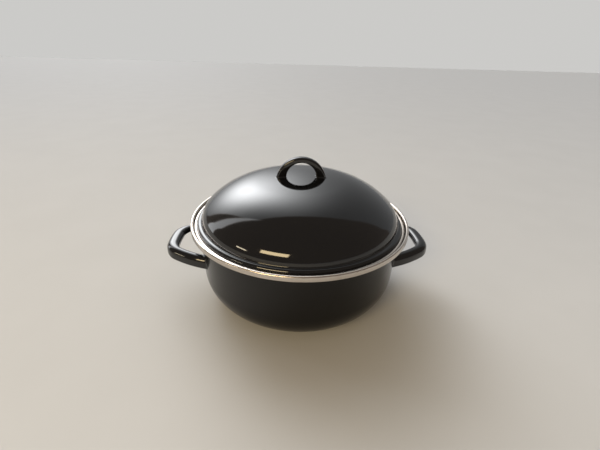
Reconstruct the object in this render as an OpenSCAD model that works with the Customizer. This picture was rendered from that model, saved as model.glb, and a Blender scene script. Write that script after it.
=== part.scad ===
// Enamelled steel dutch oven. A drawn pan carries two pressed bow handles, and a domed lid carries
// an arched handle. A steel band is crimped round each rim, and the lid's band rests on the step
// inside the pan's rim. The origin is the centre of the ring that the pan stands on.

/* [Pan] */
// Outer diameter of the wall where it meets the step under the rim
wall_d = 240; // [210:1:280]
// Height from the standing ring to the top of the rim band
pan_h = 102; // [92:1:140]
// Thickness of the enamelled sheet
sheet_t = 1.8; // [1.4:0.1:2.4]
// Lean of the wall from upright, in degrees
wall_draft = 1; // [0:0.5:4]
// Outer radius of the bend between wall and base
corner_r = 41; // [20:1:46]
// Width of the flat ring that the pan stands on
foot_w = 12; // [6:1:20]
// Height of the raised middle of the base above the standing ring
base_rise = 1; // [0.5:0.1:2]
// Width of the slope from the raised middle down to the standing ring
base_slope_w = 4; // [2:0.5:8]

/* [Rims] */
// Radial step from the wall's outside to the outside of the rim band
rim_step = 10; // [9:0.5:16]
// Depth of the step that the lid sits on below the top of the rim
seat_depth = 6; // [5:0.5:9]
// Outer radius of the bend under the step
step_bend_r = 2; // [1:0.25:2.5]
// Inner radius of the bend from the step up into the rim
rim_bend_r = 1; // [0.5:0.25:1.5]
// Thickness of the crimped steel band
band_t = 0.8; // [0.4:0.1:1]
// Depth of the pan band's outer leg
band_h = 5.6; // [4:0.2:8]
// Depth of the pan band's inner leg
band_in_h = 2.2; // [2:0.2:4.4]
// Width of the lid band seen from above
lid_band_w = 3.4; // [3:0.1:4]
// Gap between the lid's band and the pan's band
lid_gap = 0.6; // [0.3:0.1:1.2]

/* [Lid] */
// Radius of the raised bead inside the lid's band
bead_r = 3.4; // [2.6:0.2:4.4]
// Height of the bead's top above the pan's rim
bead_rise = 0.7; // [0.3:0.1:2]
// Gap between the bead and the inner edge of the lid's band
bead_gap = 0.2; // [0.1:0.1:0.5]
// Radius of the groove between bead and dome
groove_r = 1.8; // [1:0.2:3]
// Height from the bead's top to the top of the dome
dome_h = 48; // [42:1:60]
// Slope of the dome where it leaves the groove, in degrees
dome_foot_slope = 80; // [70:1:85]
// Radius of the tight bend at the foot of the dome
knuckle_r = 26.5; // [18:0.5:32]
// Distance from the axis to the centre of the shoulder arc
shoulder_in = 34; // [20:1:40]
// Slope at which the flat crown turns into the shoulder, in degrees
crown_slope = 8; // [5:0.5:12]

/* [Side handles] */
// Reach of the bow from the widest point of the wall
bow_reach = 42.2; // [36:0.2:50]
// Width over the bow at its outer corners
bow_w = 72.8; // [64:0.2:84]
// Centre line radius of the bow's outer corners
bow_corner_r = 19.5; // [14:0.5:24]
// Centre line radius of the slightly bowed grip between the corners
bow_grip_r = 125; // [70:5:250]
// Outward spread of each leg where it leaves the corner, in degrees
bow_splay = 32.5; // [20:0.5:38]
// Centre line radius of the bowed legs between corner and wall
bow_leg_r = 115; // [90:5:300]
// Upward tilt of the bow away from the wall, in degrees
bow_tilt = 4.6; // [0:0.2:12]
// Depth of the bow's top at the wall below the top of the rim
bow_drop = 33.3; // [27:0.1:38]
// Width of the bow's channel across its top
grip_w = 12.4; // [10.8:0.2:14]
// Rounding of the channel's outer shoulder
grip_round = 5; // [3:0.1:6]
// Rounding of the channel's inner shoulder
lip_round = 3.8; // [2.6:0.1:4.1]
// Depth of the channel's outer skirt at the middle of the grip
skirt_grip = 7.8; // [7:0.2:12]
// Depth of the channel's outer skirt along the legs
skirt_leg = 13.4; // [11:0.1:16]
// Depth of the channel's inner lip
grip_lip = 5; // [4.8:0.1:7]
// Thickness of the handles' sheet
grip_t = 1.8; // [1.2:0.1:2]

/* [Lid handle] */
// Outer radius of the arch
arch_r = 29.5; // [26:0.5:34]
// Radius of the finger hole under the arch
arch_hole_r = 18.3; // [15:0.1:20]
// Height of the arch above the top of the dome
arch_h = 22.9; // [20:0.1:26]
// Depth of the arch's face at its top
arch_top = 5.1; // [3.8:0.1:6]
// Thickness of the arch from front to back
arch_d = 8.5; // [8:0.5:14]
// Rounding of the arch's outer edges
arch_edge = 2.6; // [2.2:0.1:3.6]

/* [Hidden] */
enamel_satin = [0.10, 0.10, 0.11];
enamel_gloss = [0.05, 0.05, 0.06];
rim_steel = [0.78, 0.77, 0.74];
turn_fn = 120;
chord_gap = 0.03;

// Rim, from the outside in
wall_r = wall_d / 2;
rim_r = wall_r + rim_step;
rim_out_r = rim_r - band_t;
rim_in_r = rim_out_r - sheet_t;
rim_edge = [(rim_out_r + rim_in_r) / 2, pan_h - band_t - sheet_t / 2];
seat_z = pan_h - seat_depth;
step_under_z = seat_z - sheet_t;
rim_bend = [rim_in_r - rim_bend_r, seat_z + rim_bend_r];

// Pan wall, between the bend under the step and the bend at the base
lean = [cos(wall_draft), -sin(wall_draft)];
step_bend = [wall_r + step_bend_r * lean.x, step_under_z - step_bend_r];
wall_top = step_bend - step_bend_r * lean;
wall_foot_z = corner_r * (1 + lean.y);
wall_foot_r = wall_top.x - (wall_top.y - wall_foot_z) * tan(wall_draft);
corner = [wall_foot_r - corner_r * lean.x, corner_r];
foot_in_r = corner.x - foot_w;
middle_r = foot_in_r - base_slope_w;

// Lid edge, bead and groove
lid_r = rim_in_r - band_t - lid_gap;
lid_under_z = seat_z + band_t;
lid_edge = [lid_r - band_t - sheet_t / 2, lid_under_z + sheet_t / 2];
lid_band_in_r = lid_r - lid_band_w;
bead_out_r = lid_band_in_r - bead_gap;
bead = [bead_out_r - bead_r, pan_h + bead_rise - bead_r];
groove = [bead.x, pan_h + bead_rise + groove_r];

// Dome: a crown, a shoulder and a knuckle that meet without a corner
dome_foot = groove - groove_r * [sin(dome_foot_slope), cos(dome_foot_slope)];
dome_top_z = pan_h + bead_rise + dome_h;
knuckle = dome_foot - knuckle_r * [sin(dome_foot_slope), cos(dome_foot_slope)];
knuckle_span = knuckle.x - shoulder_in;
shoulder_fall = dome_top_z - shoulder_in * tan(crown_slope / 2) - knuckle.y - knuckle_r;
shoulder_slope = 2 * atan(shoulder_fall / knuckle_span);
shoulder_r = knuckle_r + knuckle_span / sin(shoulder_slope);
shoulder = [shoulder_in, knuckle.y - (shoulder_r - knuckle_r) * cos(shoulder_slope)];
crown_r = shoulder_r + shoulder_in / sin(crown_slope);
crown = [0, dome_top_z - crown_r];

// Bow handle, in its own frame: x = 0 at the wall's widest point and z = 0 at the grip's top
bow_turn = 90 - bow_splay;
bow_half = bow_w / 2 - grip_w / 2 - bow_corner_r;
grip_turn = asin(bow_half / (bow_grip_r - bow_corner_r));
grip_c = [bow_reach - grip_w / 2 - bow_grip_r, 0];
bow_corner = [grip_c.x + (bow_grip_r - bow_corner_r) * cos(grip_turn), bow_half];
leg_c = bow_corner - (bow_leg_r - bow_corner_r) * [cos(bow_turn), sin(bow_turn)];
leg_spread = bow_w / 2 + bow_reach / 2;
wall_fall = wall_r - sqrt(pow(wall_r, 2) - pow(leg_spread, 2));
leg_turn = acos((-wall_fall - grip_w - leg_c.x) / bow_leg_r);

// Lid handle
arch_z = dome_top_z + arch_h - arch_r;
arch_hole_z = dome_top_z + arch_h - arch_top - arch_hole_r;

// Steps of an arc of radius r, so that its chords stay within chord_gap of it
function arc_steps(r, turn) = max(3, ceil(abs(turn) / (2 * acos(1 - chord_gap / r))));

// Points of an arc of radius r round the point c, from angle a0 to a1
function arc(c, r, a0, a1) = let (n = arc_steps(r, a1 - a0))
    [for (i = [0 : n]) let (a = a0 + (a1 - a0) * i / n) c + r * [cos(a), sin(a)]];

function reverse(list) = [for (i = [len(list) - 1 : -1 : 0]) list[i]];

// A formed sheet is a list of bends, each [centre, radius of the outer skin, first angle, last
// angle]. The radius is negative where the centre is on the sheet's outer side.
function bend_point(bend, depth, a) = bend[0] + abs(bend[1] - depth) * [cos(a), sin(a)];

// Points of the skin that lies at a depth into a formed sheet
function skin(bends, depth) = [
    for (k = [0 : len(bends) - 1])
        let (
            bend = bends[k],
            steps = arc_steps(abs(bend[1]), bend[3] - bend[2]),
            step = (bend[3] - bend[2]) / steps,
            before = bends[max(k - 1, 0)],
            gap = norm(bend_point(bend, depth, bend[2]) - bend_point(before, depth, before[3])),
            first = gap < chord_gap ? 1 : 0
        )
        for (i = [first : steps]) bend_point(bend, depth, bend[2] + step * i)
];

pan_bends = [
    [corner, corner_r, -90, -wall_draft],
    [step_bend, -step_bend_r, 180 - wall_draft, 90],
    [rim_bend, rim_bend_r + sheet_t, -90, 0]
];

lid_bends = [
    [crown, crown_r, 90, 90 - crown_slope],
    [shoulder, shoulder_r, 90 - crown_slope, 90 - shoulder_slope],
    [knuckle, knuckle_r, 90 - shoulder_slope, 90 - dome_foot_slope],
    [groove, -groove_r, 270 - dome_foot_slope, 270],
    [bead, bead_r, 90, 0]
];

// Middle of the pan's base, raised inside the standing ring, at a depth into the sheet
function base(depth) = [[0, base_rise + depth], [middle_r, base_rise + depth], [foot_in_r, depth]];

// One drawn sheet: raised base, large bend, wall, step for the lid and upright rim
module pan() {
    color(enamel_satin) rotate_extrude($fn = turn_fn)
        polygon(concat(base(0), skin(pan_bends, 0),
                       arc(rim_edge, sheet_t / 2, 0, 180),
                       reverse(skin(pan_bends, sheet_t)), reverse(base(sheet_t))));
}

// Everything inside the pan's outer surface, below the step
module pan_bulk() {
    rotate_extrude($fn = turn_fn)
        polygon(concat([[0, 0]], skin([pan_bends[0]], 0), [wall_top, [0, wall_top.y]]));
}

// Steel strip folded over the top of the pan's rim
module pan_rim_band() {
    low_z = [pan_h - band_h, pan_h - band_in_h];
    color(rim_steel) rotate_extrude($fn = turn_fn)
        polygon(concat([[rim_out_r, low_z[0]], [rim_r, low_z[0]]],
                       arc(rim_edge, sheet_t / 2 + band_t, 0, 180),
                       [[rim_in_r - band_t, low_z[1]], [rim_in_r, low_z[1]]],
                       arc(rim_edge, sheet_t / 2, 180, 0)));
}

// Section of the bow's channel, open below: an inner lip, two rounded shoulders and an outer skirt
edge_turn = 80;
grip_bends = [
    [[lip_round - grip_w / 2, -lip_round], lip_round, 180, 90],
    [[grip_w / 2 - grip_round, -grip_round], grip_round, 90, 0]
];
lip_edge = [(grip_t - grip_w) / 2, grip_t / 2 - grip_lip];
function channel(skirt) = let (skirt_edge = [(grip_w - grip_t) / 2, grip_t / 2 - skirt])
    concat(arc(lip_edge, grip_t / 2, edge_turn - 180, -180), skin(grip_bends, 0),
           arc(skirt_edge, grip_t / 2, 0, -edge_turn),
           arc(skirt_edge, grip_t / 2, edge_turn - 180, -180),
           reverse(skin(grip_bends, grip_t)), arc(lip_edge, grip_t / 2, 0, -edge_turn));

// Stations along an arc of the bow, each [point, direction in which the skirt faces, distance from
// the middle of the grip]
function along_arc(c, r, a0, a1, distance) = let (steps = arc_steps(r, a1 - a0))
    [for (i = [1 : steps]) let (a = a0 + (a1 - a0) * i / steps)
        [c + r * [cos(a), sin(a)], a, distance + r * (a - a0) * PI / 180]];

// Half of the bow: bowed grip, round corner and a bowed leg that runs on into the wall
corner_at = bow_grip_r * grip_turn * PI / 180;
leg_at = corner_at + bow_corner_r * (bow_turn - grip_turn) * PI / 180;
half_bow = concat(
    along_arc(grip_c, bow_grip_r, 0, grip_turn, 0),
    along_arc(bow_corner, bow_corner_r, grip_turn, bow_turn, corner_at),
    along_arc(leg_c, bow_leg_r, bow_turn, leg_turn, leg_at));

// Ring of points round the channel at a station, on the half of the bow that the side gives. The
// skirt deepens smoothly from the middle of the grip to the start of the leg.
function bow_ring(station, side) = let (
        c = station[0],
        a = station[1],
        share = min(station[2] / leg_at, 1),
        skirt = skirt_grip + (skirt_leg - skirt_grip) * (1 - cos(180 * share)) / 2
    )
    [for (p = channel(skirt)) [c.x + p.x * cos(a), side * (c.y + p.x * sin(a)), p.y]];

// Channel carried along the whole bow
module bow() {
    middle = [grip_c + [bow_grip_r, 0], 0, 0];
    rings = concat([for (station = reverse(half_bow)) bow_ring(station, -1)], [bow_ring(middle, 1)],
                   [for (station = half_bow) bow_ring(station, 1)]);
    ring = len(rings[0]);
    last = ring * (len(rings) - 1);
    cap = [for (i = [0 : ring / 2 - 2]) [i, i + 1, ring - 2 - i, ring - 1 - i]];
    sides = [for (k = [0 : ring : last - ring], j = [0 : ring - 1])
        let (next = (j + 1) % ring)
        each [[k + j, k + ring + j, k + ring + next], [k + j, k + ring + next, k + next]]];
    polyhedron(points = [for (points = rings) each points],
               faces = concat(cap, sides, [for (face = cap) [for (i = reverse(face)) last + i]]));
}

// Bow tilted up from the wall, its legs cut to the wall's own surface
module pan_handle(turn) {
    color(enamel_gloss) difference() {
        rotate([0, 0, turn]) translate([wall_r, 0, pan_h - bow_drop]) rotate([0, -bow_tilt, 0]) bow();
        pan_bulk();
    }
}

// One pressed sheet: dome, groove, raised bead and flat edge
module lid() {
    color(enamel_gloss) rotate_extrude($fn = turn_fn)
        polygon(concat(skin(lid_bends, 0), [[bead_out_r, lid_under_z + sheet_t]],
                       arc(lid_edge, sheet_t / 2, 90, -90),
                       [[bead_out_r - sheet_t, lid_under_z]], reverse(skin(lid_bends, sheet_t))));
}

// Steel strip folded round the lid's flat edge, which rests on the pan's step
module lid_rim_band() {
    lid_over_z = lid_under_z + sheet_t;
    color(rim_steel) rotate_extrude($fn = turn_fn)
        polygon(concat([[lid_band_in_r, seat_z]],
                       arc(lid_edge, sheet_t / 2 + band_t, -90, 90),
                       [[lid_band_in_r, lid_over_z + band_t], [lid_band_in_r, lid_over_z]],
                       arc(lid_edge, sheet_t / 2, 90, -90), [[lid_band_in_r, lid_under_z]]));
}

// Disc with rounded rims, its axis along Y
module puck(r, d, round_r) {
    rotate([90, 0, 0]) rotate_extrude($fn = turn_fn)
        polygon(concat([[0, -d / 2]], arc([r - round_r, round_r - d / 2], round_r, -90, 0),
                       arc([r - round_r, d / 2 - round_r], round_r, 0, 90), [[0, d / 2]]));
}

// Space under the lid's crown, out past the feet of the arch and below the whole of its disc
module crown_bulk() {
    crown_skin = skin([lid_bends[0]], 0);
    low_z = dome_top_z - 2 * arch_r;
    crown_end = crown_skin[len(crown_skin) - 1];
    rotate_extrude($fn = turn_fn)
        polygon(concat(crown_skin, [[crown_end.x, low_z], [0, low_z]]));
}

// Pressed arch, hollow towards the finger hole, with two feet that follow the crown
module lid_handle() {
    color(enamel_gloss) difference() {
        translate([0, 0, arch_z]) puck(arch_r, arch_d, arch_edge);
        translate([0, 0, arch_z]) puck(arch_r - grip_t, arch_d - 2 * grip_t, arch_edge - grip_t);
        translate([0, 0, arch_hole_z]) rotate([90, 0, 0])
            cylinder(r = arch_hole_r, h = 2 * arch_d, center = true, $fn = turn_fn);
        crown_bulk();
    }
}

pan();
pan_rim_band();
pan_handle(180);  // pan_handle_left
pan_handle(0);  // pan_handle_right
lid();
lid_rim_band();
lid_handle();
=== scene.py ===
"""Black enamelled dutch oven: a drawn pan with two bow handles, a domed lid with an arched handle,
and a steel band round each rim. Lengths are in metres, in the frame of the CAD."""

from math import acos, asin, atan, ceil, cos, pi, radians, sin, sqrt, tan

import bmesh
import bpy
from mathutils import Matrix, Vector


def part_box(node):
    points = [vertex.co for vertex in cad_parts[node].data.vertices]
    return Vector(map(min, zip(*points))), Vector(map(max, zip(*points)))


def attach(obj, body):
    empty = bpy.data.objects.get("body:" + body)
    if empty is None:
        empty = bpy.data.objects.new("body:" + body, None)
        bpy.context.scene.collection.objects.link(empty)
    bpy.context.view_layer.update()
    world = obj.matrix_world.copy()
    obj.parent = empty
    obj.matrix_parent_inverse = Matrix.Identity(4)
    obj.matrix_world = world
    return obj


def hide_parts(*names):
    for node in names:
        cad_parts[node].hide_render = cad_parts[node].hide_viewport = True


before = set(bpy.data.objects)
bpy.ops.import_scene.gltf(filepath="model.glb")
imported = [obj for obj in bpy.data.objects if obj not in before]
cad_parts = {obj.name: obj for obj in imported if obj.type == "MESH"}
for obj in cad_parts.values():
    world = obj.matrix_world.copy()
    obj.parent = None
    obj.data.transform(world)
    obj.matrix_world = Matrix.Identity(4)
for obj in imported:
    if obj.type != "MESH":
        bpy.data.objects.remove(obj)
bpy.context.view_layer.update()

MM = 0.001

# Fineness of the meshes
TURN_STEPS = 256
CHORD_GAP = 0.004 * MM
FOLD_STEPS = 12
BOW_STEPS = 48
ARCH_STEPS = 40
TRACK_STEPS = 60
LEG_STEPS = 8
FLARE_STEPS = 8
LATHE_SMOOTH = 35
SWEEP_SMOOTH = 50


# Sizes read from the frame, so that the scene follows the part

def size_of(node):
    low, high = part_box(node)
    return Vector(low), Vector(high)


rim_r = size_of("pan_rim_band")[1].y
rim_z = size_of("pan_rim_band")[1].z
dome_top_z = size_of("lid")[1].z
seat_z = size_of("lid_rim_band")[0].z
arch_top_z = size_of("lid_handle")[1].z

# Pan
sheet_t = 1.8 * MM
wall_draft = radians(1)
corner_r = 41 * MM
foot_w = 12 * MM
base_rise = 1 * MM
base_slope_w = 4 * MM
rim_step = 10 * MM
step_bend_r = 2 * MM
rim_bend_r = 1 * MM
band_t = 0.8 * MM
band_h = 5.6 * MM
band_in_h = 2.2 * MM

# Lid
lid_band_w = 3.4 * MM
lid_gap = 0.6 * MM
bead_r = 3.4 * MM
bead_rise = 0.7 * MM
bead_gap = 0.2 * MM
groove_r = 1.8 * MM
dome_foot_slope = radians(80)
knuckle_r = 26.5 * MM
shoulder_in = 34 * MM
crown_slope = radians(8)

# Side handles
bow_reach = 42.15 * MM
bow_w = 74.6 * MM
bow_corner_r = 21.5 * MM
bow_grip_r = 125 * MM
bow_splay = radians(32.5)
bow_leg_r = 115 * MM
bow_tilt = radians(4.6)
bow_drop = 33.3 * MM
grip_w = 12.4 * MM
grip_swell = 2.6 * MM
grip_crown = 0.6 * MM
grip_round = 7.2 * MM
lip_round = 6.2 * MM
skirt_grip = 8.2 * MM
skirt_leg = 13.4 * MM
grip_lip = 7.2 * MM
grip_t = 1.8 * MM

# Lid handle
arch_r = 29.5 * MM
arch_hole_r = 17.5 * MM
arch_top = 6 * MM
arch_d = 8.5 * MM
arch_edge = 2.6 * MM
arch_shoulder = radians(62)
arch_end = radians(112)

# Enamel pooled where a handle meets the sheet, and how far its edge goes under the surface
pool = 1.6 * MM
pool_sink = 0.1 * MM

# Derived places, as the part has them
wall_r = rim_r - rim_step
rim_out_r = rim_r - band_t
rim_in_r = rim_out_r - sheet_t
rim_edge = Vector(((rim_out_r + rim_in_r) / 2, rim_z - band_t - sheet_t / 2))
step_under_z = seat_z - sheet_t
rim_bend = Vector((rim_in_r - rim_bend_r, seat_z + rim_bend_r))
lean = Vector((cos(wall_draft), -sin(wall_draft)))
step_bend = Vector((wall_r + step_bend_r * lean.x, step_under_z - step_bend_r))
wall_top = step_bend - step_bend_r * lean
wall_foot_z = corner_r * (1 + lean.y)
wall_foot_r = wall_top.x - (wall_top.y - wall_foot_z) * tan(wall_draft)
corner = Vector((wall_foot_r - corner_r * lean.x, corner_r))
foot_in_r = corner.x - foot_w
middle_r = foot_in_r - base_slope_w

lid_r = rim_in_r - band_t - lid_gap
lid_under_z = seat_z + band_t
lid_over_z = lid_under_z + sheet_t
lid_edge = Vector((lid_r - band_t - sheet_t / 2, lid_under_z + sheet_t / 2))
lid_band_in_r = lid_r - lid_band_w
bead_out_r = lid_band_in_r - bead_gap
bead = Vector((bead_out_r - bead_r, rim_z + bead_rise - bead_r))
groove = Vector((bead.x, rim_z + bead_rise + groove_r))
foot_way = Vector((sin(dome_foot_slope), cos(dome_foot_slope)))
dome_foot = groove - groove_r * foot_way
knuckle = dome_foot - knuckle_r * foot_way
knuckle_span = knuckle.x - shoulder_in
shoulder_fall = dome_top_z - shoulder_in * tan(crown_slope / 2) - knuckle.y - knuckle_r
shoulder_slope = 2 * atan(shoulder_fall / knuckle_span)
shoulder_r = knuckle_r + knuckle_span / sin(shoulder_slope)
shoulder = Vector((shoulder_in, knuckle.y - (shoulder_r - knuckle_r) * cos(shoulder_slope)))
crown_r = shoulder_r + shoulder_in / sin(crown_slope)
crown = Vector((0, dome_top_z - crown_r))

bow_turn = pi / 2 - bow_splay
bow_half = bow_w / 2 - grip_w / 2 - bow_corner_r
grip_turn = asin(bow_half / (bow_grip_r - bow_corner_r))
grip_c = Vector((bow_reach - grip_w / 2 - bow_grip_r, 0))
bow_corner = Vector((grip_c.x + (bow_grip_r - bow_corner_r) * cos(grip_turn), bow_half))
leg_c = bow_corner - (bow_leg_r - bow_corner_r) * Vector((cos(bow_turn), sin(bow_turn)))
leg_spread = bow_w / 2 + bow_reach / 2
wall_fall = wall_r - sqrt(wall_r ** 2 - leg_spread ** 2)
leg_turn = acos((-wall_fall - grip_w - leg_c.x) / bow_leg_r)
corner_at = bow_grip_r * grip_turn
leg_at = corner_at + bow_corner_r * (bow_turn - grip_turn)

arch_z = arch_top_z - arch_r
arch_hole_z = arch_top_z - arch_top - arch_hole_r


# Profiles

def polar(centre, r, a):
    return centre + abs(r) * Vector((cos(a), sin(a)))


def arc(centre, r, a0, a1):
    """Points of an arc whose chords stay within CHORD_GAP of it."""
    r = abs(r)
    steps = max(4, ceil(abs(a1 - a0) / (2 * acos(1 - CHORD_GAP / r))))
    return [polar(centre, r, a0 + (a1 - a0) * i / steps) for i in range(steps + 1)]


def skin(bends, depth):
    """Points at a depth into a sheet of bends (centre, radius of the outer skin, first and last angle)."""
    points = []
    for centre, r, a0, a1 in bends:
        points += arc(centre, r - depth, a0, a1)
    return points


def clean(points, gap=2e-6):
    """The points without those that fall on the one before."""
    kept = []
    for p in points:
        if not kept or (p - kept[-1]).length > gap:
            kept.append(p)
    if (kept[0] - kept[-1]).length < gap:
        kept.pop()
    return kept


# Mesh helpers

def new_object(name, bm, smooth_angle=LATHE_SMOOTH):
    """Turns a bmesh into a smooth-shaded object that keeps the edges sharper than an angle in degrees."""
    bmesh.ops.remove_doubles(bm, verts=bm.verts, dist=1e-7)
    bmesh.ops.recalc_face_normals(bm, faces=bm.faces)
    for face in bm.faces:
        face.smooth = True
    limit = radians(smooth_angle)
    for edge in bm.edges:
        edge.smooth = len(edge.link_faces) == 2 and edge.calc_face_angle(0) < limit
    mesh = bpy.data.meshes.new(name)
    bm.to_mesh(mesh)
    bm.free()
    obj = bpy.data.objects.new(name, mesh)
    bpy.context.scene.collection.objects.link(obj)
    return obj


def lathe(name, profile):
    """Turns a closed profile of (radius, height) points round the Z axis."""
    profile = clean(profile)
    bm = bmesh.new()
    rings = []
    for i in range(TURN_STEPS):
        a = 2 * pi * i / TURN_STEPS
        rings.append([bm.verts.new((p.x * cos(a), p.x * sin(a), p.y)) for p in profile])
    for i, ring in enumerate(rings):
        other = rings[(i + 1) % TURN_STEPS]
        for j in range(len(profile)):
            k = (j + 1) % len(profile)
            if max(profile[j].x, profile[k].x) > 1e-6:
                corners = [ring[j], other[j], other[k], ring[k]]
                if profile[j].x < 1e-6:
                    corners = [ring[j], other[k], ring[k]]
                elif profile[k].x < 1e-6:
                    corners = [ring[j], other[j], ring[k]]
                bm.faces.new(corners)
    return new_object(name, bm)


def dress(obj, material, slot, *nodes):
    """Gives a piece its material, stands it for its CAD nodes and lets it ride. The slot is not used."""
    obj.data.materials.clear()
    obj.data.materials.append(material)
    if nodes:
        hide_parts(*nodes)
    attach(obj, "root")
    return obj


# Materials

def node_material(name):
    material = bpy.data.materials.new(name)
    material.use_nodes = True
    nodes = material.node_tree.nodes
    nodes.clear()
    out = nodes.new("ShaderNodeOutputMaterial")
    shader = nodes.new("ShaderNodeBsdfPrincipled")
    material.node_tree.links.new(shader.outputs[0], out.inputs["Surface"])
    return material, material.node_tree, shader


def noise(tree, scale, detail=3, roughness=0.5, stretch=None):
    """Noise over the object's own coordinates, scale in waves to the metre."""
    coords = tree.nodes.new("ShaderNodeTexCoord")
    texture = tree.nodes.new("ShaderNodeTexNoise")
    texture.inputs["Scale"].default_value = scale
    texture.inputs["Detail"].default_value = detail
    texture.inputs["Roughness"].default_value = roughness
    source = coords.outputs["Object"]
    if stretch:
        mapping = tree.nodes.new("ShaderNodeMapping")
        mapping.inputs["Scale"].default_value = stretch
        tree.links.new(source, mapping.inputs["Vector"])
        source = mapping.outputs[0]
    tree.links.new(source, texture.inputs["Vector"])
    return texture.outputs["Fac"]


def ramp(tree, source, low, high, low_value, high_value):
    """Maps a value from low..high to low_value..high_value."""
    node = tree.nodes.new("ShaderNodeMapRange")
    node.inputs["From Min"].default_value = low
    node.inputs["From Max"].default_value = high
    node.inputs["To Min"].default_value = low_value
    node.inputs["To Max"].default_value = high_value
    tree.links.new(source, node.inputs["Value"])
    return node.outputs["Result"]


def bump(tree, shader, height, distance, strength=1.0, before=None):
    node = tree.nodes.new("ShaderNodeBump")
    node.inputs["Strength"].default_value = strength
    node.inputs["Distance"].default_value = distance
    tree.links.new(height, node.inputs["Height"])
    if before:
        tree.links.new(before.outputs[0], node.inputs["Normal"])
    tree.links.new(node.outputs[0], shader.inputs["Normal"])
    return node


def tint(tree, shader, factor, low, high):
    """Base colour between two near colours."""
    mix = tree.nodes.new("ShaderNodeMix")
    mix.data_type = "RGBA"
    mix.inputs["A"].default_value = (*low, 1)
    mix.inputs["B"].default_value = (*high, 1)
    tree.links.new(factor, mix.inputs["Factor"])
    tree.links.new(mix.outputs["Result"], shader.inputs["Base Color"])


def enamel(name, gloss, specular, wave, peel):
    """Black vitreous enamel: slow waviness, fine orange peel and faint smears in the gloss."""
    material, tree, shader = node_material(name)
    tint(tree, shader, noise(tree, 60, 4), (0.0022, 0.0021, 0.0021), (0.0042, 0.0038, 0.0036))
    smear = ramp(tree, noise(tree, 22, 5, 0.62), 0.35, 0.75, gloss, gloss * 1.7)
    tree.links.new(smear, shader.inputs["Roughness"])
    shader.inputs["Specular IOR Level"].default_value = specular
    shader.inputs["IOR"].default_value = 1.58
    slow = bump(tree, shader, noise(tree, 45, 2), wave)
    bump(tree, shader, noise(tree, 700, 2), peel, before=slow)
    return material


def turned_steel(name):
    """Polished strip with fine lines round the rim."""
    material, tree, shader = node_material(name)
    coords = tree.nodes.new("ShaderNodeTexCoord")
    split = tree.nodes.new("ShaderNodeSeparateXYZ")
    flat = tree.nodes.new("ShaderNodeVectorMath")
    flat.operation = "MULTIPLY"
    flat.inputs[1].default_value = (1, 1, 0)
    radius = tree.nodes.new("ShaderNodeVectorMath")
    radius.operation = "LENGTH"
    join = tree.nodes.new("ShaderNodeCombineXYZ")
    tree.links.new(coords.outputs["Object"], split.inputs[0])
    tree.links.new(coords.outputs["Object"], flat.inputs[0])
    tree.links.new(flat.outputs[0], radius.inputs[0])
    tree.links.new(radius.outputs["Value"], join.inputs["X"])
    tree.links.new(split.outputs["Z"], join.inputs["Z"])
    lines = tree.nodes.new("ShaderNodeTexNoise")
    lines.inputs["Scale"].default_value = 5200
    lines.inputs["Detail"].default_value = 2
    tree.links.new(join.outputs[0], lines.inputs["Vector"])
    tint(tree, shader, noise(tree, 90, 4), (0.54, 0.485, 0.43), (0.64, 0.58, 0.52))
    shader.inputs["Metallic"].default_value = 1
    wear = ramp(tree, noise(tree, 160, 5, 0.6), 0.3, 0.8, 0.2, 0.3)
    tree.links.new(wear, shader.inputs["Roughness"])
    bump(tree, shader, lines.outputs["Fac"], 2e-6, 0.5)
    return material


def floor_material():
    material, tree, shader = node_material("pale_floor")
    tint(tree, shader, noise(tree, 9, 3), (0.56, 0.555, 0.54), (0.60, 0.595, 0.58))
    shader.inputs["Roughness"].default_value = 0.8
    shader.inputs["Specular IOR Level"].default_value = 0.15
    bump(tree, shader, noise(tree, 500, 2), 4e-5, 0.4)
    return material


# Pan, lid and bands

def base(depth):
    """Base of the pan, from the axis to the inside of the standing ring, at a depth into the sheet."""
    middle_z = base_rise + depth
    return [Vector((0, middle_z)), Vector((middle_r, middle_z)), Vector((foot_in_r, depth))]


def make_pan(material):
    bends = [
        (corner, corner_r, -pi / 2, -wall_draft),
        (step_bend, -step_bend_r, pi - wall_draft, pi / 2),
        (rim_bend, rim_bend_r + sheet_t, -pi / 2, 0),
    ]
    profile = base(0) + skin(bends, 0) + arc(rim_edge, sheet_t / 2, 0, pi)
    profile += skin(bends, sheet_t)[::-1] + base(sheet_t)[::-1]
    return dress(lathe("pan_shell", profile), material, "enamel_satin", "pan")


def make_pan_band(material):
    low, low_in = rim_z - band_h, rim_z - band_in_h
    profile = [Vector((rim_out_r, low)), Vector((rim_r, low))]
    profile += arc(rim_edge, sheet_t / 2 + band_t, 0, pi)
    profile += [Vector((rim_in_r - band_t, low_in)), Vector((rim_in_r, low_in))]
    profile += arc(rim_edge, sheet_t / 2, pi, 0)
    return dress(lathe("pan_band", profile), material, "rim_steel", "pan_rim_band")


def lid_bends():
    return [
        (crown, crown_r, pi / 2, pi / 2 - crown_slope),
        (shoulder, shoulder_r, pi / 2 - crown_slope, pi / 2 - shoulder_slope),
        (knuckle, knuckle_r, pi / 2 - shoulder_slope, pi / 2 - dome_foot_slope),
        (groove, -groove_r, 1.5 * pi - dome_foot_slope, 1.5 * pi),
        (bead, bead_r, pi / 2, 0),
    ]


def make_lid(material):
    profile = skin(lid_bends(), 0) + [Vector((bead_out_r, lid_over_z))]
    profile += arc(lid_edge, sheet_t / 2, pi / 2, -pi / 2)
    profile += [Vector((bead_out_r - sheet_t, lid_under_z))] + skin(lid_bends(), sheet_t)[::-1]
    return dress(lathe("lid_shell", profile), material, "enamel_gloss", "lid")


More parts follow.
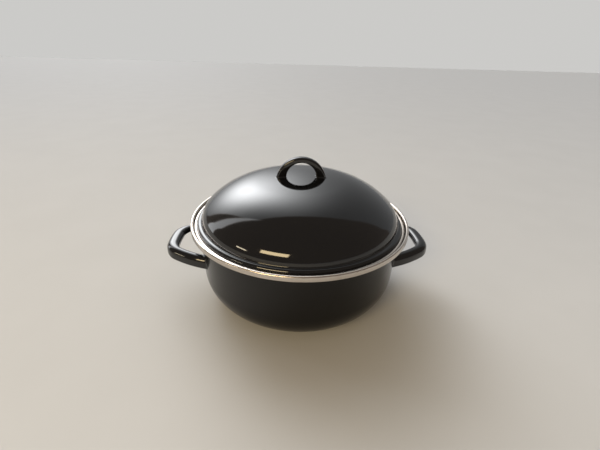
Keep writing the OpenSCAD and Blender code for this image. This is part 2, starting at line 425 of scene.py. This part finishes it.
def make_lid_band(material):
    """Strip whose folded top falls in a curve to its inner edge."""
    profile = [Vector((lid_band_in_r, seat_z))]
    profile += arc(lid_edge, sheet_t / 2 + band_t, -pi / 2, pi / 2)
    over_w = lid_edge.x - lid_band_in_r
    for i in range(1, FOLD_STEPS + 1):
        a = pi / 2 * i / FOLD_STEPS
        profile.append(Vector((lid_edge.x - over_w * sin(a), lid_over_z + band_t * cos(a))))
    profile += arc(lid_edge, sheet_t / 2, pi / 2, -pi / 2) + [Vector((lid_band_in_r, lid_under_z))]
    return dress(lathe("lid_band", profile), material, "rim_steel", "lid_rim_band")


# Side handles

def channel(width, inner_r, outer_r, t, skirt, lip):
    """Closed section of a sheet channel, open below: (across, up), with rounded edges."""
    bends = [
        (Vector((inner_r - width / 2, -inner_r)), inner_r, pi, pi / 2),
        (Vector((width / 2 - outer_r, -outer_r)), outer_r, pi / 2, 0),
    ]
    skirt_end = Vector(((width - t) / 2, t / 2 - skirt))
    lip_end = Vector(((t - width) / 2, t / 2 - lip))
    return clean(skin(bends, 0) + arc(skirt_end, t / 2, 0, -pi) + skin(bends, t)[::-1]
                 + arc(lip_end, t / 2, 0, -pi))


def wall_at(z):
    """Outer radius of the pan's wall at a height."""
    if z < wall_foot_z:
        return corner.x + sqrt(max(corner_r ** 2 - (corner_r - z) ** 2, 0))
    return wall_top.x - (wall_top.y - z) * tan(wall_draft)


def sweep(name, stations):
    """Skins a list of rings of points and closes both ends."""
    bm = bmesh.new()
    rings = [[bm.verts.new(p) for p in ring] for ring in stations]
    for a, b in zip(rings, rings[1:]):
        for j in range(len(a)):
            k = (j + 1) % len(a)
            bm.faces.new((a[j], b[j], b[k], a[k]))
    bm.faces.new(rings[0])
    bm.faces.new(rings[-1][::-1])
    return new_object(name, bm, SWEEP_SMOOTH)


def pooled_end(track, start, stop, height, normal):
    """Rings that carry a swept section from start into a surface. Each point follows its own track
    down to the surface, then flares out along it, as enamel pools in a corner."""
    rings = [track(start + (stop - start) * i / TRACK_STEPS) for i in range(TRACK_STEPS + 1)]
    count = len(rings[0])
    pool_steps = pool * TRACK_STEPS / (stop - start)

    def at(j, x):
        """Place of point j at x steps from start."""
        i = max(min(int(x), TRACK_STEPS - 1), 0)
        return rings[i][j].lerp(rings[i + 1][j], x - i)

    def step_down(j):
        """Steps from start at which a point's track reaches the surface."""
        for i in range(TRACK_STEPS):
            above, below = height(rings[i][j]), height(rings[i + 1][j])
            if above > 0 >= below:
                return i + above / (above - below)
        return TRACK_STEPS

    reach = [step_down(j) for j in range(count)]
    feet = [at(j, x) for j, x in enumerate(reach)]
    sides = []
    for j in range(count):
        along = feet[j] - at(j, reach[j] - pool_steps)
        sides.append((feet[(j + 1) % count] - feet[j - 1]).cross(along))
    middle = sum(feet, Vector()) / count
    outward = 1 if sum(s.dot(p - middle) for s, p in zip(sides, feet)) > 0 else -1
    curves = []
    for j, foot in enumerate(feet):
        up = normal(foot)
        side = outward * sides[j]
        side = (side - up * side.dot(up)).normalized()
        tip = foot + side * pool
        tip -= up * (height(tip) + pool_sink)
        curves.append((at(j, reach[j] - pool_steps), foot, tip))
    leg = []
    for i in range(LEG_STEPS):
        leg.append([at(j, (reach[j] - pool_steps) * i / LEG_STEPS) for j in range(count)])
    flare = []
    for i in range(FLARE_STEPS + 1):
        t = i / FLARE_STEPS
        flare.append([a * (1 - t) ** 2 + b * 2 * t * (1 - t) + c * t * t for a, b, c in curves])
    return leg + flare


def bow_station(distance):
    """Point of the bow's centre line and the way its skirt faces, at a distance from its middle."""
    if distance < corner_at:
        a = distance / bow_grip_r
        return polar(grip_c, bow_grip_r, a), a
    if distance < leg_at:
        a = grip_turn + (distance - corner_at) / bow_corner_r
        return polar(bow_corner, bow_corner_r, a), a
    a = bow_turn + (distance - leg_at) / bow_leg_r
    return polar(leg_c, bow_leg_r, a), a


def bow_ring(distance, hand):
    """Ring of points round the bow's channel. Its top is crowned, highest towards the pan, its skirt
    deepens from the grip to the legs, and the grip swells towards the pan."""
    share = min(distance / leg_at, 1)
    skirt = skirt_grip + (skirt_leg - skirt_grip) * (1 - cos(pi * share)) / 2
    width = grip_w + grip_swell * (1 - share ** 3)
    centre, a = bow_station(distance)
    ring = []
    for p in channel(width, lip_round - grip_crown, grip_round - grip_crown, grip_t,
                     skirt - grip_crown, grip_lip - grip_crown):
        q = centre + Vector((cos(a), sin(a))) * (p.x + (grip_w - width) / 2)
        off_top = (p.x + width / 10) / (width / 2 + width / 10)
        ring.append(Vector((q.x, hand * q.y, p.y - grip_crown * off_top ** 2)))
    return ring


def make_pan_handle(side, material, node):
    """Bow of one pressed channel, its legs run into the pan's wall."""
    place = (Matrix.Rotation(0 if side > 0 else pi, 4, "Z")
             @ Matrix.Translation((wall_r, 0, rim_z - bow_drop))
             @ Matrix.Rotation(-bow_tilt, 4, "Y"))

    def over_wall(p):
        return Vector((p.x, p.y)).length - wall_at(p.z)

    def wall_normal(p):
        return Vector((p.x, p.y, 0)).normalized()

    def half(hand):
        def track(distance):
            return [place @ p for p in bow_ring(distance, hand)]
        rings = [track(leg_at * i / BOW_STEPS) for i in range(1, BOW_STEPS)]
        leg_end = leg_at + bow_leg_r * (leg_turn - bow_turn)
        return rings + pooled_end(track, leg_at, leg_end, over_wall, wall_normal)

    middle = [place @ p for p in bow_ring(0, 1)]
    name = "bow_right" if side > 0 else "bow_left"
    return dress(sweep(name, half(-1)[::-1] + [middle] + half(1)), material, "enamel_gloss", node)


# Lid handle

def arch_ring(distance, hand):
    """Ring of points round the arch's channel, at a distance from its top along its outer edge."""
    a = distance / arch_r
    lift = arch_hole_z - arch_z
    hole = lift * cos(a) + sqrt(arch_hole_r ** 2 - (lift * sin(a)) ** 2)
    ring = []
    for p in channel(arch_d, arch_edge, arch_edge, grip_t, arch_r - hole, arch_r - hole):
        r = arch_r + p.y
        ring.append(Vector((hand * r * sin(a), p.x, arch_z + r * cos(a))))
    return ring


def make_lid_handle(material):
    """Arch pressed from sheet, hollow towards the finger hole, its feet run into the crown."""
    def over_crown(p):
        return (p - Vector((0, 0, crown.y))).length - crown_r

    def crown_normal(p):
        return (p - Vector((0, 0, crown.y))).normalized()

    shoulder_at = arch_r * arch_shoulder

    def half(hand):
        def track(distance):
            return arch_ring(distance, hand)
        rings = [track(shoulder_at * i / ARCH_STEPS) for i in range(1, ARCH_STEPS)]
        return rings + pooled_end(track, shoulder_at, arch_r * arch_end, over_crown, crown_normal)

    rings = half(-1)[::-1] + [arch_ring(0, 1)] + half(1)
    return dress(sweep("lid_arch", rings), material, "enamel_gloss", "lid_handle")


# Stage, light and camera

FLOOR_HALF = 6
FLOOR_DROP = 0.2 * MM
PALE_GROUND = (0.60, 0.595, 0.58)

# Light by direction: how the far side's edges lie in the sky, and the strengths and hues
FAR_LEAN = 0.25
FAR_LEFT_LEAN = 0.35
FAR_RIGHT_CUT = 0.38
FAR_ROUND = 0.2
FAR_SOFT = 0.015
PANE_SOFT = 0.012
FAR_LIGHT = 0.15
ROOM_LIGHT = 0.23
PANE_LIGHT = 2.3
FAR_HUE = (0.97, 0.985, 1)
ROOM_HUE = (1, 0.86, 0.76)

# The photograph's camera, solved from the rim, the bead and the dome's outline
CAMERA_AT = Vector((-26.3, -374.5, 285)) * MM
CAMERA_PITCH = radians(27.92)
CAMERA_YAW = radians(4.09)
CAMERA_ROLL = radians(1.82)
WIDTH_PX = 600
FOCAL_PX = 338
SENSOR_W = 36


def make_floor(material):
    bm = bmesh.new()
    bmesh.ops.create_grid(bm, x_segments=8, y_segments=8, size=FLOOR_HALF)
    floor = new_object("floor", bm)
    floor.location.z = -FLOOR_DROP
    floor.data.materials.append(material)


def calc(tree, operation, a, b=0.0, c=0.0):
    """One sum of two or three values, each a number or a socket."""
    node = tree.nodes.new("ShaderNodeMath")
    node.operation = operation
    for i, value in enumerate((a, b, c)):
        if isinstance(value, (int, float)):
            node.inputs[i].default_value = value
        else:
            tree.links.new(value, node.inputs[i])
    return node.outputs[0]


def glow(tree, direction, az, el, width, peak):
    """Soft round patch of light round a direction of the sky, its angles in degrees."""
    az, el = radians(az), radians(el)
    dot = tree.nodes.new("ShaderNodeVectorMath")
    dot.operation = "DOT_PRODUCT"
    dot.inputs[1].default_value = (sin(az) * cos(el), cos(az) * cos(el), sin(el))
    tree.links.new(direction, dot.inputs[0])
    fall = calc(tree, "MULTIPLY", calc(tree, "SUBTRACT", dot.outputs["Value"], 1), 1 / radians(width) ** 2)
    return calc(tree, "MULTIPLY", calc(tree, "EXPONENT", fall), peak)


def side_pane(tree, x, y, z, az_left, az_right, taper):
    """Upright pane between two azimuths in degrees, narrowing as it rises: 1 on it, 0 beside it."""
    def right_of(az):
        az = radians(az)
        return calc(tree, "SUBTRACT", calc(tree, "MULTIPLY", x, cos(az)),
                    calc(tree, "MULTIPLY", y, sin(az)))

    inside = calc(tree, "MINIMUM", right_of(az_left), calc(tree, "MULTIPLY", right_of(az_right), -1))
    inside = calc(tree, "SUBTRACT", inside, calc(tree, "MULTIPLY", z, taper))
    return ramp(tree, inside, -PANE_SOFT, PANE_SOFT, 0, 1)


def far_half(tree, x, y, z):
    """The sky over the far side of the floor: 1 in it, 0 beside it. Its lower edge leans away as it
    rises, and both its ends are cut off aslant, with rounded corners."""
    front = calc(tree, "SUBTRACT", y, calc(tree, "MULTIPLY", z, FAR_LEAN))
    left = calc(tree, "ADD", calc(tree, "ADD", y, x), calc(tree, "MULTIPLY", z, FAR_LEFT_LEAN))
    right = calc(tree, "SUBTRACT", y, calc(tree, "MULTIPLY", x, FAR_RIGHT_CUT))
    ends = calc(tree, "SMOOTH_MIN", left, right, FAR_ROUND)
    inside = calc(tree, "SMOOTH_MIN", front, ends, FAR_ROUND)
    return ramp(tree, inside, -FAR_SOFT, FAR_SOFT, 0, 1)


def sky_light(tree, direction, far_side, pane):
    """Strength of the light by its direction: two glows and a base over the far side, the dim room
    all round and the pane."""
    light = calc(tree, "ADD", glow(tree, direction, az=-25, el=32.5, width=12.5, peak=9), FAR_LIGHT)
    light = calc(tree, "ADD", light, glow(tree, direction, az=-11, el=54.5, width=13, peak=1.5))
    light = calc(tree, "ADD", calc(tree, "MULTIPLY", light, far_side), ROOM_LIGHT)
    return calc(tree, "ADD", light, calc(tree, "MULTIPLY", pane, PANE_LIGHT))


def make_world():
    """A broad soft light over the far side of the floor, a pane of light at the left, and a dim room
    behind the camera. The camera itself sees a plain pale ground."""
    world = bpy.data.worlds.new("studio")
    bpy.context.scene.world = world
    world.use_nodes = True
    tree = world.node_tree
    tree.nodes.clear()
    direction = tree.nodes.new("ShaderNodeTexCoord").outputs["Generated"]
    split = tree.nodes.new("ShaderNodeSeparateXYZ")
    tree.links.new(direction, split.inputs[0])
    x, y, z = (split.outputs[axis] for axis in "XYZ")
    far_side = far_half(tree, x, y, z)
    pane = side_pane(tree, x, y, z, az_left=-71, az_right=-57, taper=0.07)

    lit = tree.nodes.new("ShaderNodeBackground")
    hue = tree.nodes.new("ShaderNodeMix")
    hue.data_type = "RGBA"
    hue.inputs["A"].default_value = (*ROOM_HUE, 1)
    hue.inputs["B"].default_value = (*FAR_HUE, 1)
    tree.links.new(calc(tree, "MINIMUM", calc(tree, "ADD", far_side, pane), 1), hue.inputs["Factor"])
    tree.links.new(hue.outputs["Result"], lit.inputs["Color"])
    tree.links.new(sky_light(tree, direction, far_side, pane), lit.inputs["Strength"])

    pale = tree.nodes.new("ShaderNodeBackground")
    pale.inputs["Color"].default_value = (*PALE_GROUND, 1)
    pale.inputs["Strength"].default_value = 1
    path = tree.nodes.new("ShaderNodeLightPath")
    mix = tree.nodes.new("ShaderNodeMixShader")
    out = tree.nodes.new("ShaderNodeOutputWorld")
    tree.links.new(path.outputs["Is Camera Ray"], mix.inputs[0])
    tree.links.new(lit.outputs[0], mix.inputs[1])
    tree.links.new(pale.outputs[0], mix.inputs[2])
    tree.links.new(mix.outputs[0], out.inputs["Surface"])


def softbox(name, place, target, width, height, power, colour):
    """Rectangular lamp, out of the camera's sight, that faces a target."""
    light = bpy.data.lights.new(name, "AREA")
    light.shape = "RECTANGLE"
    light.size = width
    light.size_y = height
    light.energy = power
    light.color = colour
    obj = bpy.data.objects.new(name, light)
    obj.location = place
    obj.rotation_euler = (Vector(target) - Vector(place)).to_track_quat("-Z", "Y").to_euler()
    obj.visible_camera = False
    bpy.context.scene.collection.objects.link(obj)
    return obj


def make_camera():
    data = bpy.data.cameras.new("camera")
    data.sensor_width = SENSOR_W
    data.lens = SENSOR_W * FOCAL_PX / WIDTH_PX
    data.clip_start = 10 * MM
    camera = bpy.data.objects.new("camera", data)
    ahead = Vector((sin(CAMERA_YAW), cos(CAMERA_YAW), 0))
    forward = cos(CAMERA_PITCH) * ahead - sin(CAMERA_PITCH) * Vector((0, 0, 1))
    right = Vector((cos(CAMERA_YAW), -sin(CAMERA_YAW), 0))
    up = right.cross(forward)
    turned_right = cos(CAMERA_ROLL) * right + sin(CAMERA_ROLL) * up
    turned_up = cos(CAMERA_ROLL) * up - sin(CAMERA_ROLL) * right
    turn = Matrix((turned_right, turned_up, -forward)).transposed()
    camera.matrix_world = Matrix.Translation(CAMERA_AT) @ turn.to_4x4()
    bpy.context.scene.collection.objects.link(camera)
    bpy.context.scene.camera = camera


satin = enamel("enamel_satin_black", gloss=0.14, specular=0.3, wave=8e-5, peel=3e-6)
gloss = enamel("enamel_gloss_black", gloss=0.055, specular=0.5, wave=5e-5, peel=1.5e-6)
steel = turned_steel("rim_steel_turned")

make_pan(satin)
make_pan_band(steel)
make_lid(gloss)
make_lid_band(steel)
make_pan_handle(-1, gloss, "pan_handle_left")
make_pan_handle(1, gloss, "pan_handle_right")
make_lid_handle(gloss)
make_floor(floor_material())
make_world()
softbox("room_light", place=(-0.95, -1.62, 1.12), target=(0, 0, 0.1), width=1.05, height=0.45,
        power=19, colour=(1, 0.78, 0.45))
softbox("side_light", place=(-1.9, -0.86, 0.6), target=(0, 0, 0.1), width=0.45, height=0.13,
        power=2.4, colour=(1, 0.86, 0.62))
make_camera()
bpy.context.scene.view_settings.view_transform = "Standard"
